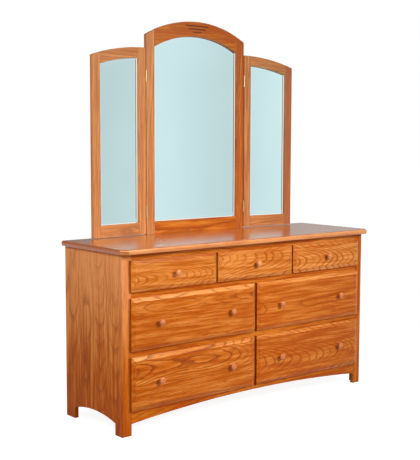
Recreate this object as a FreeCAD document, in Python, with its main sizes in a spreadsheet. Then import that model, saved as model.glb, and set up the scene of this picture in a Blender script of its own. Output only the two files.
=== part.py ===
import FreeCAD, Part
import math
import os
import re

import Sketcher

# Oak dresser with seven drawers and a three-panel mirror. Millimetres.
# The row frame has its origin under the middle of the whole object, on the floor:
# +X to the right as one faces the drawers, +Y to the back, +Z up.

# Driving dimensions
SIZES = (
    # Case
    ("case_width", 1610, "outside width across the two front stiles"),
    ("case_depth", 478, "face frame front to case back"),
    ("side_thickness", 20, "side panels"),
    ("frame_thickness", 20, "stiles and rails of the face frame"),
    ("stile_width", 52, "front stiles, which end as the front feet"),
    ("stile_round", 4, "round along the outer edge of each stile"),
    # Arched lower edges
    ("front_foot", 57, "depth of the front foot seen from the side"),
    ("rear_foot", 76, "depth of the rear foot seen from the side"),
    ("side_spring", 54, "height where the side arch starts"),
    ("side_rise", 25, "rise of the side arch"),
    ("apron_spring", 55, "height where the apron arch starts"),
    ("apron_rise", 37, "rise of the apron arch"),
    # Top board
    ("top_thickness", 25, "top board"),
    ("top_front_overhang", 44, "top board past the face frame"),
    ("top_side_overhang", 19, "top board past each side"),
    ("top_corner_cut", 29, "clipped front corners, measured along each edge"),
    ("top_round", 10, "round along the upper edge"),
    ("top_under_round", 6, "round along the lower edge"),
    # Drawer rows
    ("front_lift", 115, "floor to the lower edge of the lowest fronts"),
    ("front_overlap", 8, "how far a drawer front laps over its opening"),
    ("top_margin", 30, "upper fronts to underside of the top board"),
    ("row_gap", 27, "height between one row of fronts and the next"),
    ("centre_gap", 19, "between the two wide fronts of a row"),
    ("divider_gap", 9, "between two narrow fronts of the upper row"),
    ("upper_front_height", 145, "fronts of the upper row"),
    ("middle_front_height", 244, "fronts of the middle row"),
    ("lower_front_height", 250, "fronts of the lower row"),
    # Drawer fronts and boxes
    ("front_thickness", 20, "drawer front board"),
    ("front_clearance", 0.5, "drawer front to face frame when shut"),
    ("bevel_width", 19, "width of the bevelled border"),
    ("bevel_fall", 8, "how far the border falls back to the edge"),
    ("box_length", 430, "drawer box, front to back"),
    ("box_board", 12, "boards of a drawer box"),
    ("box_clearance", 2, "drawer box to its guides, each side"),
    ("box_headroom", 9, "top of a drawer box to the top of its opening"),
    ("running_clearance", 0.3, "under a drawer box on its runners"),
    ("bottom_thickness", 6, "drawer bottom"),
    ("bottom_rise", 10, "drawer bottom above the box's lower edge"),
    ("groove_depth", 6, "groove that holds the drawer bottom"),
    ("panel_clearance", 0.5, "panel edge to the bottom of its groove or rebate"),
    # Knobs
    ("knob_length", 25, "how far a knob stands out"),
    ("knob_head_radius", 16, "knob head"),
    ("knob_neck_radius", 8, "knob where it meets the drawer front"),
    ("knob_neck_reach", 10, "how long the straight neck is"),
    ("knob_rim_reach", 20, "drawer front to the widest place"),
    ("knob_inset", 157, "knob to the nearer end of a wide front"),
    # Inside the case
    ("back_thickness", 6, "back panel"),
    ("back_lap", 8, "how far the back panel laps onto each side"),
    ("back_floor_gap", 62, "floor to the lower edge of the back panel"),
    ("runner_thickness", 20, "drawer runner"),
    ("runner_ledge", 18, "part of a runner that carries a drawer side"),
    ("guide_height", 18, "guide above its runner"),
    ("rear_rail_thickness", 20, "cross rails at the back"),
    ("rear_rail_height", 45, "cross rails at the back"),
    # Mirror, centre panel
    ("mirror_width", 662, "centre panel"),
    ("mirror_height", 1103, "top board to the crown of the centre panel"),
    ("mirror_crown_rise", 86, "rise of the crown above the shoulders"),
    ("mirror_thickness", 20, "all mirror frames"),
    ("mirror_stile", 52, "stiles of the centre panel"),
    ("mirror_top_rail", 77, "arched rail"),
    ("mirror_bottom_rail", 66, "bottom rail of the centre panel"),
    ("glass_recess", 12, "frame front to glass"),
    ("glass_thickness", 5, "mirror glass"),
    ("glass_lap", 8, "glass hidden behind the frame"),
    ("glass_bevel_width", 28, "bevel along the edge of the glass"),
    ("glass_bevel_fall", 1.6, "how far the bevel falls back"),
    # Carved grooves under the crown
    ("carving_length", 150, "longest groove"),
    ("carving_height", 7, "each groove"),
    ("carving_depth", 3, "each groove"),
    ("carving_pitch", 16, "from groove to groove"),
    ("carving_drop", 23, "crown to the middle of the first groove"),
    # Mirror wings
    ("wing_width", 340, "each wing"),
    ("wing_lift", 3, "wing above the top board"),
    ("wing_height", 946, "wing at its hinged edge"),
    ("wing_fall", 55, "how far the wing's top falls to its outer edge"),
    ("wing_stile", 47, "stiles of a wing"),
    ("wing_top_rail", 53, "curved rail of a wing"),
    ("wing_bottom_rail", 61, "bottom rail of a wing"),
    ("wing_forward", 30, "how far a wing's outer edge stands forward of the centre panel"),
    # Hinges
    ("hinge_length", 60, "butt hinge"),
    ("hinge_gap", 3, "frame to frame across the hinge leaves"),
    ("hinge_drop", 141, "wing top to the middle of the upper hinge"),
    ("hinge_rise", 117, "wing bottom to the middle of the lower hinge"),
    ("leaf_thickness", 1.2, "hinge leaf"),
    ("leaf_depth", 15, "hinge leaf along the frame's edge"),
    ("knuckle_radius", 3.25, "hinge barrel"),
    ("knuckle_standoff", 3.4, "pin axis in front of the frames"),
    ("knuckle_gap", 0.3, "between two knuckles"),
    ("pin_radius", 1.5, "hinge pin"),
    ("pin_clearance", 0.05, "pin in its knuckles"),
    # Battens that hold the mirror
    ("batten_width", 60, "each batten"),
    ("batten_thickness", 19, "each batten"),
    ("batten_drop", 360, "batten below the top board's surface"),
    ("batten_reach", 720, "batten above the top board's surface"),
    ("batten_spread", 400, "between the middles of the two battens"),
)

# Shares of the sizes that they follow, chosen by hand
CARVING_SHARES = (1.0, 0.75, 0.36)
CARVING_END_SHARE = 0.55

# Places that follow from the driving dimensions
PLACES = (
    ("half_width", "case_width / 2"),
    ("front_reach", "max(front_clearance + front_thickness + knob_length; top_front_overhang)"),
    ("face_y", "(front_reach - case_depth - batten_thickness) / 2"),
    ("back_y", "face_y + case_depth"),
    ("lower_z", "front_lift"),
    ("middle_z", "lower_z + lower_front_height + row_gap"),
    ("upper_z", "middle_z + middle_front_height + row_gap"),
    ("case_height", "upper_z + upper_front_height + top_margin"),
    ("top_z", "case_height + top_thickness"),
    ("stile_showing", "stile_width - front_overlap"),
    ("fronts_width", "case_width - 2 * stile_showing"),
    ("wide_front", "(fronts_width - centre_gap) / 2"),
    ("narrow_front", "(fronts_width - 2 * divider_gap) / 3"),
    ("centre_stile", "centre_gap + 2 * front_overlap"),
    ("divider_width", "divider_gap + 2 * front_overlap"),
    ("upper_sill", "upper_z + front_overlap"),
    ("middle_sill", "middle_z + front_overlap"),
    ("lower_sill", "lower_z + front_overlap"),
    ("upper_head", "upper_z + upper_front_height - front_overlap"),
    ("middle_head", "middle_z + middle_front_height - front_overlap"),
    ("lower_head", "lower_z + lower_front_height - front_overlap"),
    ("inner_width", "case_width - 2 * side_thickness"),
    ("rear_rail_y", "back_y - back_thickness - rear_rail_thickness"),
    ("inside_y", "face_y + frame_thickness"),
    ("runner_length", "case_depth - frame_thickness - back_thickness - rear_rail_thickness"),
    ("side_depth", "case_depth - frame_thickness"),
    ("side_span", "case_depth - front_foot - rear_foot"),
    ("side_arch_radius", "((side_span / 2)^2 + side_rise^2) / (2 * side_rise)"),
    ("apron_span", "case_width - 2 * stile_width"),
    ("apron_radius", "((apron_span / 2)^2 + apron_rise^2) / (2 * apron_rise)"),
    ("divider_x", "(narrow_front + divider_gap) / 2"),
    ("guide_width", "stile_width - side_thickness"),
    ("mirror_half", "mirror_width / 2"),
    ("glass_rebate", "glass_lap + panel_clearance"),
    ("backing_thickness", "mirror_thickness - glass_recess - glass_thickness"),
    ("mirror_y", "back_y - mirror_thickness"),
    ("opening_half", "mirror_half - mirror_stile"),
    ("crown_radius", "(mirror_half^2 + mirror_crown_rise^2) / (2 * mirror_crown_rise)"),
    ("crown_centre", "mirror_height - crown_radius"),
    ("arch_radius", "crown_radius - mirror_top_rail"),
    ("wing_radius", "(wing_width^2 + wing_fall^2) / (2 * wing_fall)"),
    ("wing_centre", "wing_height - wing_radius"),
    ("wing_inner_radius", "wing_radius - wing_top_rail"),
    ("wing_in", "hinge_gap / 2"),
    ("wing_out", "wing_in + wing_width"),
    ("hinge_x", "mirror_half + hinge_gap / 2"),
    ("hinge_y", "mirror_y - knuckle_standoff"),
    ("wing_z", "top_z + wing_lift"),
    ("upper_hinge_z", "wing_z + wing_height - hinge_drop - hinge_length / 2"),
    ("lower_hinge_z", "wing_z + hinge_rise - hinge_length / 2"),
)

doc = FreeCAD.newDocument("Dresser")
sheet_of = {}
nodes = []


def fill_sheet(name, rows):
    """Make a spreadsheet with one named cell for each row: alias, value and what it is."""
    sheet = doc.addObject("Spreadsheet::Sheet", name)
    for number, (alias, content, *note) in enumerate(rows, 1):
        sheet.set(f"A{number}", alias)
        sheet.set(f"B{number}", str(content))
        sheet.set(f"C{number}", " ".join(note))
        sheet.setAlias(f"B{number}", alias)
    doc.recompute()
    sheet_of.update((row[0], name + ".") for row in rows)


def formula(text):
    """Put the sheet's name before each alias, so that an object can be bound to the text."""
    return re.sub(r"[a-z][a-z_]+", lambda word: sheet_of.get(word.group(), "") + word.group(), str(text))


def bind(thing, **properties):
    """Bind properties to formulas. A double underscore stands for a dot in the property's path."""
    for path, text in properties.items():
        thing.setExpression(path.replace("__", "."), formula(text))


def value(thing, text):
    """The number that a formula gives now."""
    return float(thing.evalExpression(formula(text)))


def place(thing, x="0", y="0", z="0"):
    """Stand a piece at a place given by three formulas."""
    bind(thing, Placement__Base__x=x, Placement__Base__y=y, Placement__Base__z=z)
    return thing


def node(thing):
    """Keep a piece as one of the object's named sub-parts."""
    nodes.append(thing)
    return thing


def sawn(label, length, width, height, x="0", y="0", z="0"):
    """A straight square-edged board."""
    board = doc.addObject("Part::Box", label)
    bind(board, Length=length, Width=width, Height=height)
    return place(board, x, y, z)


def group(label, pieces):
    """Several like pieces, each its own solid, as one sub-part."""
    together = doc.addObject("Part::Compound", label)
    together.Links = pieces
    return together


def mirrored(label, source):
    """The same piece for the other side of the dresser's middle plane."""
    twin = doc.addObject("Part::Mirroring", label)
    twin.Source = source
    twin.Normal = FreeCAD.Vector(1, 0, 0)
    return twin


def body(label):
    return doc.addObject("PartDesign::Body", label)


def origin_plane(owner, role):
    return next(plane for plane in owner.Origin.OriginFeatures if plane.Role == role)


def outline(owner, role, corners, arcs=None, lift="0"):
    """A closed outline on one of the body's origin planes.

    Each corner is a pair of formulas. arcs maps a corner's number to the radius of the arc that starts there
    and the side on which it bulges: 1 for the left of the way round, -1 for the right.
    """
    arcs = arcs or {}
    sketch = owner.newObject("Sketcher::SketchObject", "Outline")
    sketch.AttachmentSupport = [(origin_plane(owner, role), "")]
    sketch.MapMode = "FlatFace"
    bind(sketch, AttachmentOffset__Base__z=lift)
    points = [FreeCAD.Vector(value(owner, x), value(owner, y), 0) for x, y in corners]
    ends = []
    for number, start in enumerate(points):
        stop = points[(number + 1) % len(points)]
        if number in arcs:
            radius, side = arcs[number]
            sketch.addGeometry(arc_between(start, stop, value(owner, radius), side))
            ends.append((2, 1) if side > 0 else (1, 2))
        else:
            sketch.addGeometry(Part.LineSegment(start, stop))
            ends.append((1, 2))
    for number, (x, y) in enumerate(corners):
        after = (number + 1) % len(corners)
        sketch.addConstraint(Sketcher.Constraint("Coincident", number, ends[number][1], after, ends[after][0]))
    for number, (x, y) in enumerate(corners):
        fix_corner(sketch, owner, number, ends[number][0], "DistanceX", x)
        fix_corner(sketch, owner, number, ends[number][0], "DistanceY", y)
    for number, (radius, side) in arcs.items():
        place_of = sketch.addConstraint(Sketcher.Constraint("Radius", number, value(owner, radius)))
        sketch.setExpression(f"Constraints[{place_of}]", formula(radius))
    return sketch


def fix_corner(sketch, owner, edge, end, kind, text):
    """Tie one coordinate of a corner to a formula, or to the sketch's axis where it is zero."""
    if text == "0":
        axis = -2 if kind == "DistanceX" else -1
        sketch.addConstraint(Sketcher.Constraint("PointOnObject", edge, end, axis))
        return
    place_of = sketch.addConstraint(Sketcher.Constraint(kind, -1, 1, edge, end, value(owner, text)))
    sketch.setExpression(f"Constraints[{place_of}]", formula(text))


def arc_between(start, stop, radius, side):
    """The arc under a half circle from start to stop that bulges to the left (1) or right (-1)."""
    chord = stop - start
    left = FreeCAD.Vector(-chord.y, chord.x, 0).normalize()
    middle = (start + stop) / 2
    centre = middle - left * side * math.sqrt(radius ** 2 - (chord.Length / 2) ** 2)
    first, last = (stop, start) if side > 0 else (start, stop)
    angles = [math.atan2(point.y - centre.y, point.x - centre.x) for point in (first, last)]
    return Part.ArcOfCircle(Part.Circle(centre, FreeCAD.Vector(0, 0, 1), radius), *angles)


def rectangle(owner, role, width, height, x="0", y="0", lift="0"):
    right = f"{x} + {width}"
    head = f"{y} + {height}"
    return outline(owner, role, [(x, y), (right, y), (right, head), (x, head)], lift=lift)


def pad(owner, sketch, length, backwards=False):
    """Add material on a sketch. On the front plane the material goes to the back when backwards is set."""
    feature = owner.newObject("PartDesign::Pad", "Pad")
    feature.Profile = sketch
    feature.Reversed = backwards
    bind(feature, Length=length)
    doc.recompute()
    return feature


def pocket(owner, sketch, length, backwards=False):
    """Cut material under a sketch, and make sure that something was cut."""
    before = owner.Shape.Volume
    feature = owner.newObject("PartDesign::Pocket", "Pocket")
    feature.Profile = sketch
    feature.Reversed = backwards
    bind(feature, Length=length)
    doc.recompute()
    if not owner.Shape.Volume < before:
        raise RuntimeError(f"{owner.Label}: the pocket cuts nothing")
    return feature


def edges_where(shape, test):
    """Names of the edges whose bounding box passes a test."""
    return [f"Edge{number}" for number, edge in enumerate(shape.Edges, 1) if test(edge.BoundBox)]


def rounded(owner, feature, names, radius):
    fillet = owner.newObject("PartDesign::Fillet", "Round")
    fillet.Base = (feature, names)
    bind(fillet, Radius=radius)
    doc.recompute()
    return fillet


fill_sheet("Sizes", SIZES)
fill_sheet("Places", [(alias, "=" + formula(text)) for alias, text in PLACES])


# Case

def side_panel():
    """The left side: an arch at the bottom leaves two feet, and a rebate at the back takes the back panel."""
    side = body("left_side")
    front = "front_foot - frame_thickness"
    rear = "side_depth - rear_foot"
    corners = [("0", "0"), (front, "0"), (front, "side_spring"), (rear, "side_spring"), (rear, "0"),
               ("side_depth", "0"), ("side_depth", "case_height"), ("0", "case_height")]
    pad(side, outline(side, "YZ_Plane", corners, {2: ("side_arch_radius", 1)}), "side_thickness")
    rebate = rectangle(side, "XY_Plane", "back_lap", "back_thickness",
                       "side_thickness - back_lap", "side_depth - back_thickness")
    pocket(side, rebate, "case_height", backwards=True)
    return place(side, "-half_width", "inside_y")


def stile():
    """The left front stile, rounded along its outer edge. Its lower end is the front of the foot."""
    upright = body("left_stile")
    post = pad(upright, rectangle(upright, "XY_Plane", "stile_width", "frame_thickness"), "case_height")
    middle = value(upright, "frame_thickness / 2")
    tall = value(upright, "case_height / 2")
    outer = edges_where(post.Shape, lambda box: box.ZLength > tall and max(box.XMax, box.YMax) < middle)
    rounded(upright, post, outer, "stile_round")
    return place(upright, "-half_width", "face_y")


def apron():
    """The bottom rail with its long shallow arch."""
    rail = body("apron")
    corners = [("0", "apron_spring"), ("apron_span", "apron_spring"),
               ("apron_span", "lower_sill"), ("0", "lower_sill")]
    pad(rail, outline(rail, "XZ_Plane", corners, {0: ("apron_radius", 1)}), "frame_thickness", backwards=True)
    return place(rail, "stile_width - half_width", "face_y")


def face_rail(label, low, high):
    """A straight rail of the face frame between the two stiles."""
    return sawn(label, "apron_span", "frame_thickness", f"{high} - ({low})",
                "stile_width - half_width", "face_y", low)


def short_stile(label, width, middle, low, high):
    """An upright between two drawers of one row."""
    return sawn(label, width, "frame_thickness", f"{high} - {low}", f"{middle} - {width} / 2", "face_y", low)


def top_board():
    """The top: front corners clipped, edges rounded at the front and the sides, square at the back."""
    top = body("top_board")
    wide = "case_width + 2 * top_side_overhang"
    deep = "case_depth + top_front_overhang"
    cut = "top_corner_cut"
    corners = [(cut, "0"), (f"{wide} - {cut}", "0"), (wide, cut), (wide, deep), ("0", deep), ("0", cut)]
    board = pad(top, outline(top, "XY_Plane", corners), "top_thickness")
    back = value(top, deep)
    thickness = value(top, "top_thickness")
    upper = edges_where(board.Shape, lambda box: box.ZMin > thickness / 2 and box.YMin < back - thickness)
    rounding = rounded(top, board, upper, "top_round")
    lower = edges_where(rounding.Shape, lambda box: box.ZMax < thickness / 4 and box.YMin < back - thickness)
    rounded(top, rounding, lower, "top_under_round")
    return place(top, "-half_width - top_side_overhang", "face_y - top_front_overhang", "case_height")


def back_panel():
    return sawn("back_panel", "inner_width + 2 * back_lap", "back_thickness", "case_height - back_floor_gap",
                "-inner_width / 2 - back_lap", "back_y - back_thickness", "back_floor_gap")


def rear_rail(label, high):
    return sawn(label, "inner_width", "rear_rail_thickness", "rear_rail_height",
                "-inner_width / 2", "rear_rail_y", f"{high} - rear_rail_height")


def side_runner(label, sill):
    """Carries the outer side of a drawer, with a guide beside it that fills out to the stile's edge."""
    runner = body(label)
    corners = [("0", "0"), ("guide_width + runner_ledge", "0"),
               ("guide_width + runner_ledge", "runner_thickness"), ("guide_width", "runner_thickness"),
               ("guide_width", "runner_thickness + guide_height"), ("0", "runner_thickness + guide_height")]
    pad(runner, outline(runner, "XZ_Plane", corners), "runner_length", backwards=True)
    return place(runner, "-inner_width / 2", "inside_y", f"{sill} - runner_thickness")


def middle_runner(label, guide, middle, sill):
    """Carries the sides of two neighbouring drawers, with the guide between them."""
    runner = body(label)
    full = f"{guide} + 2 * runner_ledge"
    near = "runner_ledge"
    far = f"{guide} + runner_ledge"
    high = "runner_thickness + guide_height"
    corners = [("0", "0"), (full, "0"), (full, "runner_thickness"), (far, "runner_thickness"), (far, high),
               (near, high), (near, "runner_thickness"), ("0", "runner_thickness")]
    pad(runner, outline(runner, "XZ_Plane", corners), "runner_length", backwards=True)
    return place(runner, f"{middle} - {guide} / 2 - runner_ledge", "inside_y", f"{sill} - runner_thickness")


def runners():
    """Two L-shaped and one T-shaped runner for each wide row, and four for the upper row."""
    pieces = []
    for row in ("lower", "middle", "upper"):
        left = side_runner(f"{row}_runner_left", f"{row}_sill")
        pieces += [left, mirrored(f"{row}_runner_right", left)]
    for row in ("lower", "middle"):
        pieces.append(middle_runner(f"{row}_runner_centre", "centre_stile", "0", f"{row}_sill"))
    divider = middle_runner("upper_runner_divider", "divider_width", "-divider_x", "upper_sill")
    pieces += [divider, mirrored("upper_runner_divider_right", divider)]
    return group("drawer_runners", pieces)


def cleats():
    """Blocks under the top board, which also keep the upper drawers from tipping as they come out."""
    height = "case_height - upper_head"
    side = sawn("cleat_left", "guide_width + runner_ledge", "runner_length", height,
                "-inner_width / 2", "inside_y", "upper_head")
    wide = "divider_width + 2 * runner_ledge"
    divider = sawn("cleat_divider", wide, "runner_length", height,
                   f"-divider_x - ({wide}) / 2", "inside_y", "upper_head")
    return group("top_cleats", [side, mirrored("cleat_right", side),
                                divider, mirrored("cleat_divider_right", divider)])


def case():
    left_side = node(side_panel())
    node(mirrored("right_side", left_side))
    left_stile = node(stile())
    node(mirrored("right_stile", left_stile))
    node(face_rail("top_rail", "upper_head", "case_height"))
    node(face_rail("upper_rail", "middle_head", "upper_sill"))
    node(face_rail("middle_rail", "lower_head", "middle_sill"))
    node(apron())
    divider = short_stile("divider_left", "divider_width", "-divider_x", "upper_sill", "upper_head")
    node(group("drawer_dividers", [
        short_stile("lower_centre_stile", "centre_stile", "0", "lower_sill", "lower_head"),
        short_stile("middle_centre_stile", "centre_stile", "0", "middle_sill", "middle_head"),
        divider,
        mirrored("divider_right", divider),
    ]))
    node(top_board())
    node(back_panel())
    node(runners())
    heads = (("lower", "lower_sill"), ("middle", "middle_sill"), ("upper", "upper_sill"), ("top", "case_height"))
    node(group("rear_rails", [rear_rail(f"rear_rail_{name}", high) for name, high in heads]))
    node(cleats())


# Drawers

def bevelled(owner, shape, inset, fall, thickness, lift="0"):
    """A flat piece whose front border falls back: shape and inset are outlines for the two edges of the border.

    lift is how far the piece's front face lies behind the body's front plane.
    """
    corners, arcs = shape
    edge = outline(owner, "XZ_Plane", corners, arcs, lift=f"-({lift}) - {fall}")
    pad(owner, edge, f"{thickness} - {fall}", backwards=True)
    corners, arcs = inset
    field = outline(owner, "XZ_Plane", corners, arcs, lift=f"-({lift})")
    border = owner.newObject("PartDesign::AdditiveLoft", "Border")
    border.Profile = edge
    border.Sections = [field]
    border.Ruled = True
    doc.recompute()


def front_board(label, left, width, low, height):
    """A board laid over the opening, with a wide bevelled border."""
    board = body(label)
    blank = pad(board, rectangle(board, "XZ_Plane", width, height), "front_thickness", backwards=True)
    middle = value(board, "front_thickness / 2")
    bevel = board.newObject("PartDesign::Chamfer", "Bevel")
    bevel.Base = (blank, edges_where(blank.Shape, lambda box: box.YMax < middle))
    bevel.ChamferType = "Two distances"
    bind(bevel, Size="bevel_fall", Size2="bevel_width")
    doc.recompute()
    return place(board, left, "face_y - front_clearance - front_thickness", low)


def knob(label, middle, height):
    """A turned wooden knob: a domed head that tapers to a straight neck."""
    piece = body(label)
    rim = "knob_length - knob_rim_reach"
    corners = [("0", "0"), ("knob_head_radius", rim), ("knob_neck_radius", "knob_length - knob_neck_reach"),
               ("knob_neck_radius", "knob_length"), ("0", "knob_length")]
    dome = f"(knob_head_radius^2 + ({rim})^2) / (2 * ({rim}))"
    turning = piece.newObject("PartDesign::Revolution", "Turning")
    turning.Profile = outline(piece, "XY_Plane", corners, {0: (dome, -1)})
    turning.ReferenceAxis = (turning.Profile[0], ["V_Axis"])
    doc.recompute()
    return place(piece, middle, "face_y - front_clearance - front_thickness - knob_length", height)


def drawer_walls(name, left, width, low, height):
    """Two sides, an inner front and a back, each a board of its own. The first three are grooved."""
    start = "face_y - front_clearance"
    groove = "box_board - groove_depth"
    over = "bottom_rise + bottom_thickness"
    section = [("0", "0"), ("box_board", "0"), ("box_board", "bottom_rise"), (groove, "bottom_rise"),
               (groove, over), ("box_board", over), ("box_board", height), ("0", height)]
    turned_over = [(f"box_board - ({x})", z) for x, z in section]
    inside = f"{left} + box_board"
    inside_width = f"{width} - 2 * box_board"
    boards = []
    for side, corners, x in (("left", section, left), ("right", turned_over, f"{left} + {width} - box_board")):
        board = body(f"{name}_side_{side}")
        pad(board, outline(board, "XZ_Plane", corners), "box_length", backwards=True)
        boards.append(place(board, x, start, low))
    inner_front = body(f"{name}_inner_front")
    pad(inner_front, outline(inner_front, "YZ_Plane", section), inside_width)
    boards.append(place(inner_front, inside, start, low))
    boards.append(sawn(f"{name}_back", inside_width, "box_board", f"{height} - ({over})",
                       inside, f"{start} + box_length - box_board", f"{low} + {over}"))
    return group(f"{name}_walls", boards)


def drawer_bottom(name, left, width, low):
    into = "groove_depth - panel_clearance"
    return sawn(f"{name}_bottom", f"{width} - 2 * box_board + 2 * ({into})",
                f"box_length - box_board + {into}", "bottom_thickness",
                f"{left} + box_board - ({into})", f"face_y - front_clearance + box_board - ({into})",
                f"{low} + bottom_rise")


def drawer(name, row, left, width, knobs):
    """One whole drawer. knobs are the places of its knobs along the front."""
    front_height = f"{row}_front_height"
    box_left = f"{left} + front_overlap + box_clearance"
    box_width = f"{width} - 2 * front_overlap - 2 * box_clearance"
    box_low = f"{row}_sill + running_clearance"
    box_height = f"{row}_head - {row}_sill - box_headroom"
    middle = f"{row}_z + {front_height} / 2"
    pieces = [front_board(f"{name}_front_board", left, width, f"{row}_z", front_height)]
    pieces += [knob(f"{name}_knob_{number}", x, middle) for number, x in enumerate(knobs, 1)]
    node(group(f"{name}_front", pieces))
    node(drawer_walls(name, box_left, box_width, box_low, box_height))
    node(drawer_bottom(name, box_left, box_width, box_low))


def drawers():
    """Three narrow drawers over two wide ones over two wide ones."""
    edge = "fronts_width / 2"
    for name, left in (("upper_left", f"-{edge}"), ("upper_centre", "-narrow_front / 2"),
                       ("upper_right", f"{edge} - narrow_front")):
        drawer(name, "upper", left, "narrow_front", [f"{left} + narrow_front / 2"])
    for row in ("middle", "lower"):
        for side, left in (("left", f"-{edge}"), ("right", "centre_gap / 2")):
            knobs = [f"{left} + knob_inset", f"{left} + wide_front - knob_inset"]
            drawer(f"{row}_{side}", row, left, "wide_front", knobs)


# Mirror

def on_arc(centre, radius, x):
    """Height of an arch over the place x, measured from the middle of its circle."""
    return f"{centre} + sqrt(({radius})^2 - ({x})^2)"


def framed(label, front, back, lift="0"):
    """A frame piece rebated at the back for the glass.

    front is the outline that shows, back the narrower outline behind the glass's front face.
    """
    piece = body(label)
    for (corners, arcs), length in ((front, "glass_recess"), (back, "mirror_thickness")):
        pad(piece, outline(piece, "XZ_Plane", corners, arcs, lift), length, backwards=True)
    return piece


def arched_panel(left, right, low, centre, radius, middle="0"):
    """Outline of a panel with upright sides, a level foot and an arched head."""
    return ([(left, low), (right, low), (right, on_arc(centre, radius, f"{right} - ({middle})")),
             (left, on_arc(centre, radius, f"{left} - ({middle})"))], {2: (radius, -1)})


def arched_rail(left, right, centre, inner, outer, middle="0"):
    """Outline of a rail between two arcs about one middle."""
    right_x = f"{right} - ({middle})"
    left_x = f"{left} - ({middle})"
    return ([(left, on_arc(centre, inner, left_x)), (right, on_arc(centre, inner, right_x)),
             (right, on_arc(centre, outer, right_x)), (left, on_arc(centre, outer, left_x))],
            {0: (inner, 1), 2: (outer, -1)})


def box_outline(left, right, low, high):
    return ([(left, low), (right, low), (right, high), (left, high)], {})


def carve(rail):
    """Three grooves under the crown, each shorter than the one above it."""
    for row, share in enumerate(CARVING_SHARES):
        half = f"carving_length * {share} / 2"
        middle = f"mirror_height - carving_drop - {row} * carving_pitch"
        low = f"{middle} - carving_height / 2"
        high = f"{middle} + carving_height / 2"
        end = f"carving_height * {CARVING_END_SHARE}"
        corners = [(f"-{half}", low), (half, low), (half, high), (f"-{half}", high)]
        pocket(rail, outline(rail, "XZ_Plane", corners, {1: (end, -1), 3: (end, -1)}), "carving_depth")


def centre_panel():
    """The fixed middle panel, which stands on the top board."""
    opening = "opening_half"
    behind = "opening_half + glass_rebate"
    stile = framed("mirror_stile_right",
                   arched_panel(opening, "mirror_half", "0", "crown_centre", "crown_radius"),
                   arched_panel(behind, "mirror_half", "0", "crown_centre", "crown_radius"))
    crown = framed("mirror_crown_rail",
                   arched_rail(f"-{opening}", opening, "crown_centre", "arch_radius", "crown_radius"),
                   arched_rail(f"-{opening}", opening, "crown_centre", "arch_radius + glass_rebate", "crown_radius"))
    carve(crown)
    foot = framed("mirror_bottom_rail",
                  box_outline(f"-{opening}", opening, "0", "mirror_bottom_rail"),
                  box_outline(f"-{opening}", opening, "0", "mirror_bottom_rail - glass_lap"))
    pane = "opening_half + glass_lap"
    low = "mirror_bottom_rail - glass_lap"
    glass, backing = pane_and_backing("mirror", f"-({pane})", pane, low, "crown_centre",
                                      "arch_radius + glass_lap", "0", "0")
    for piece in (stile, crown, foot, glass, backing):
        place(piece, "0", "mirror_y", "top_z")
    node(group("mirror_stiles", [stile, mirrored("mirror_stile_left", stile)]))
    for piece in (crown, foot, glass, backing):
        node(piece)
    batten = sawn("batten_right", "batten_width", "batten_thickness", "batten_drop + batten_reach",
                  "(batten_spread - batten_width) / 2", "back_y", "top_z - batten_drop")
    node(group("mirror_battens", [batten, mirrored("batten_left", batten)]))


def pane_and_backing(name, left, right, low, centre, radius, middle, lift):
    """Bevelled glass and the thin board behind it. lift is how far the frame's face lies behind the origin."""
    glass = body(f"{name}_glass")
    shape = arched_panel(left, right, low, centre, radius, middle)
    inset = arched_panel(f"{left} + glass_bevel_width", f"{right} - glass_bevel_width",
                         f"{low} + glass_bevel_width", centre, f"{radius} - glass_bevel_width", middle)
    bevelled(glass, shape, inset, "glass_bevel_fall", "glass_thickness", f"{lift} + glass_recess")
    backing = body(f"{name}_backing")
    corners, arcs = shape
    behind = outline(backing, "XZ_Plane", corners, arcs, f"-({lift}) - glass_recess - glass_thickness")
    pad(backing, behind, "backing_thickness", backwards=True)
    return glass, backing


def hang(piece, z="wing_z"):
    """Place a piece of the right wing: its origin is the pin axis, and it is swung forward to its rest."""
    upright = FreeCAD.Vector(0, 0, 1)
    # Any turn that isn't zero keeps the axis upright until the formula sets the angle
    piece.Placement = FreeCAD.Placement(FreeCAD.Vector(), FreeCAD.Rotation(upright, -1))
    bind(piece, Placement__Rotation__Angle="-asin(wing_forward / wing_width)")
    return place(piece, "hinge_x", "hinge_y", z)


def wing():
    """The right wing. Its crown is level at the hinged edge and falls to the outer edge."""
    lift = "-knuckle_standoff"
    inner = "wing_in + wing_stile"
    outer = "wing_out - wing_stile"
    curve = ("wing_centre", "wing_radius", "wing_in")
    in_stile = framed("wing_stile_inner", arched_panel("wing_in", inner, "0", *curve),
                      arched_panel("wing_in", f"{inner} - glass_rebate", "0", *curve), lift)
    out_stile = framed("wing_stile_outer", arched_panel(outer, "wing_out", "0", *curve),
                       arched_panel(f"{outer} + glass_rebate", "wing_out", "0", *curve), lift)
    head = framed("wing_rail_top",
                  arched_rail(inner, outer, "wing_centre", "wing_inner_radius", "wing_radius", "wing_in"),
                  arched_rail(inner, outer, "wing_centre", "wing_inner_radius + glass_rebate", "wing_radius",
                              "wing_in"), lift)
    foot = framed("wing_rail_bottom", box_outline(inner, outer, "0", "wing_bottom_rail"),
                  box_outline(inner, outer, "0", "wing_bottom_rail - glass_lap"), lift)
    glass, backing = pane_and_backing("right_wing", f"{inner} - glass_lap", f"{outer} + glass_lap",
                                      "wing_bottom_rail - glass_lap", "wing_centre",
                                      "wing_inner_radius + glass_lap", "wing_in", "knuckle_standoff")
    for piece in (in_stile, out_stile, head, foot, glass, backing):
        hang(piece)
    return [group("right_wing_stiles", [in_stile, out_stile]), group("right_wing_rails", [head, foot]),
            glass, backing]


# Hinges

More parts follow.
